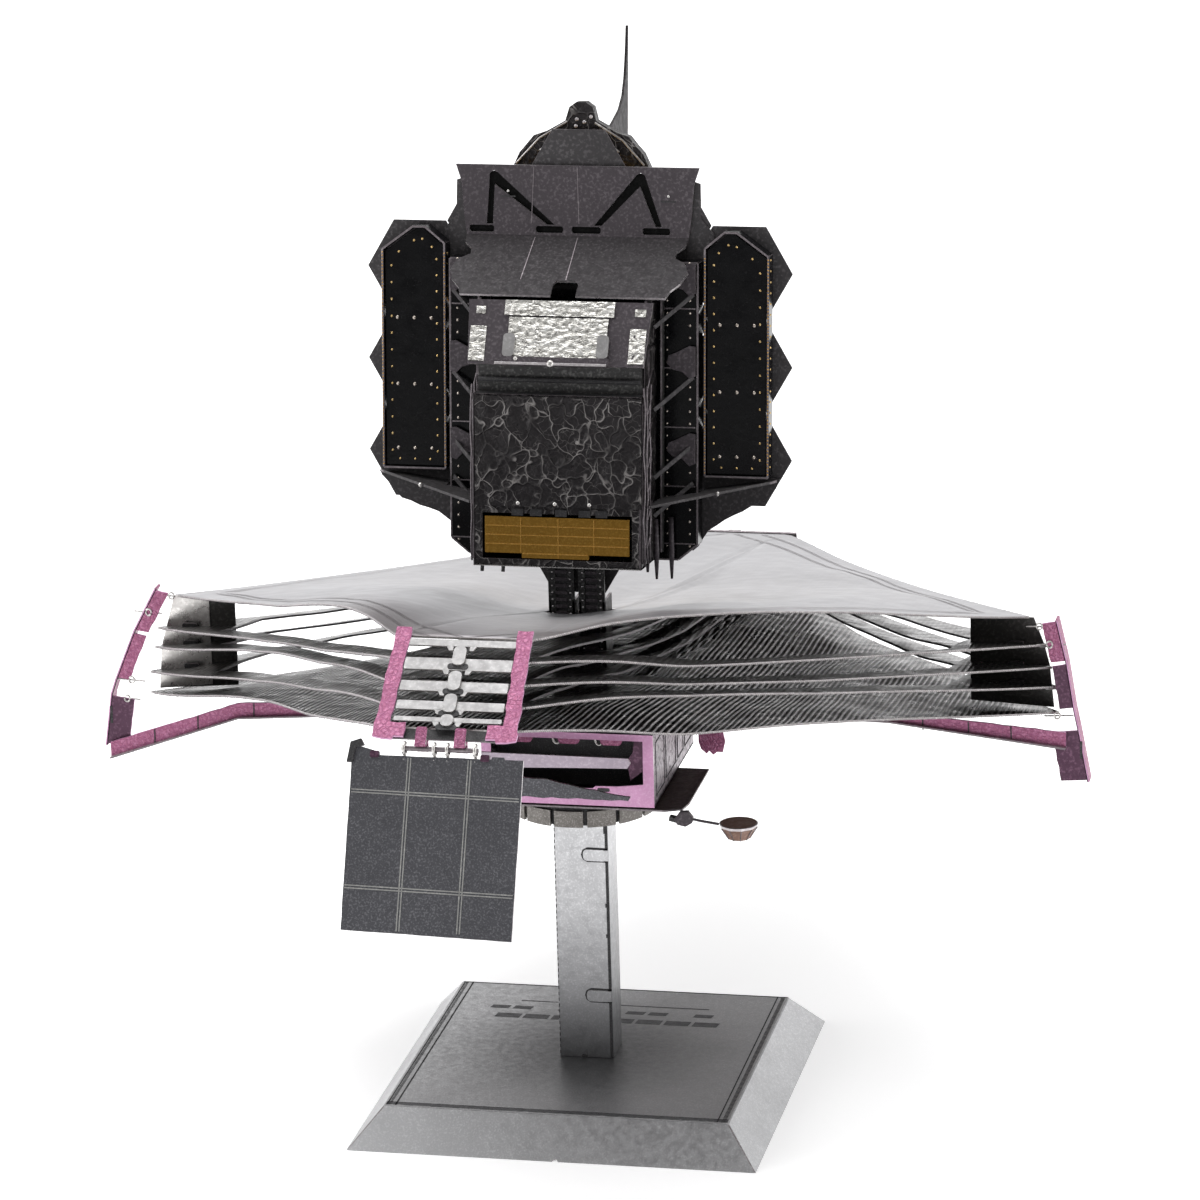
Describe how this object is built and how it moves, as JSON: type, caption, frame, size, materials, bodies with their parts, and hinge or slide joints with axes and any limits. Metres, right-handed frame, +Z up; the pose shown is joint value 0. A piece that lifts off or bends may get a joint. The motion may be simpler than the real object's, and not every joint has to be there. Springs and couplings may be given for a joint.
{
  "type": "space telescope display model",
  "caption": "Etched sheet-metal display model of a segmented-mirror space telescope with a layered sunshield, on a square post and pyramid base.",
  "frame": {"origin": "centre of the base's flat underside", "axes": "+Z up; +Y the way the mirror looks, from the tail frame to the bow of the sunshield; +X to the right when seen from behind the mirror"},
  "size_m": [0.1231, 0.1837, 0.1237],
  "materials": {
    "etched_steel": "satin, finely speckled",
    "silver_film": "bright etched with fine ribs",
    "pink_metal": "metallic, fine texture",
    "lilac_metal": "metallic satin",
    "slate_plate": "matt, speckled",
    "grey_plate": "satin, speckled",
    "dark_foil": "crinkled, half gloss",
    "gloss_black": "gloss",
    "gold_plate": "bright",
    "gold_mirror": "mirror",
    "silver_foil": "crinkled, bright"
  },
  "bodies": {
    "root": {"adapter_ring": "etched_steel", "aft_optics_cone": "dark_foil", "antenna_boom": "slate_plate", "antenna_bracket": "slate_plate", "antenna_dish": "grey_plate", "backplane_centre": "gloss_black", "base_cover": "etched_steel", "base_floor": "etched_steel", "bow_frame": "pink_metal", "bus_deck": "pink_metal", "bus_rear_frame": "lilac_metal", "bus_shelf_lower": "lilac_metal", "bus_shelf_upper": "lilac_metal", "bus_shell": "slate_plate", "flap_hinge_bar": "etched_steel", "flap_lug_left": "pink_metal", "flap_lug_right": "pink_metal", "gold_baffle": "gold_plate", "instrument_box": "dark_foil", "instrument_foil": "dark_foil", "mid_boom_left": "pink_metal", "mid_boom_right": "pink_metal", "mirror_centre": "gold_mirror", "mirror_wing_left": "gold_mirror", "mirror_wing_right": "gold_mirror", "post_channel": "etched_steel", "post_face": "etched_steel", "post_tab_lower": "etched_steel", "post_tab_upper": "etched_steel", "radiator_foil": "silver_foil", "radiator_panel": "grey_plate", "secondary_mirror": "gold_mirror", "shelf_left": "grey_plate", "shelf_right": "grey_plate", "side_bracket_left": "pink_metal", "side_bracket_right": "pink_metal", "side_tab": "pink_metal", "solar_panel": "grey_plate", "spreader_left": "dark_foil", "spreader_right": "dark_foil", "strut_lower_left": "grey_plate", "strut_lower_right": "grey_plate", "strut_upper": "grey_plate", "sunshield_layer_1": "silver_film", "sunshield_layer_2": "silver_film", "sunshield_layer_3": "silver_film", "sunshield_layer_4": "silver_film", "sunshield_layer_5": "silver_film", "tail_ladder": "silver_film", "tail_rail_left": "pink_metal", "tail_rail_right": "pink_metal", "top_hood": "dark_foil", "top_peak": "grey_plate", "tower_left": "dark_foil", "tower_right": "dark_foil", "visor_plate": "grey_plate", "wing_box_left": "gloss_black", "wing_box_right": "gloss_black"},
    "flap": {"momentum_flap": "slate_plate"}
  },
  "joints": [
    {"name": "flap_hinge", "type": "hinge", "parent": "root", "child": "flap", "pos_m": [0, -0.0692, 0.0659], "axis": [-1, 0, 0], "range_deg": [-25, 65]}
  ]
}
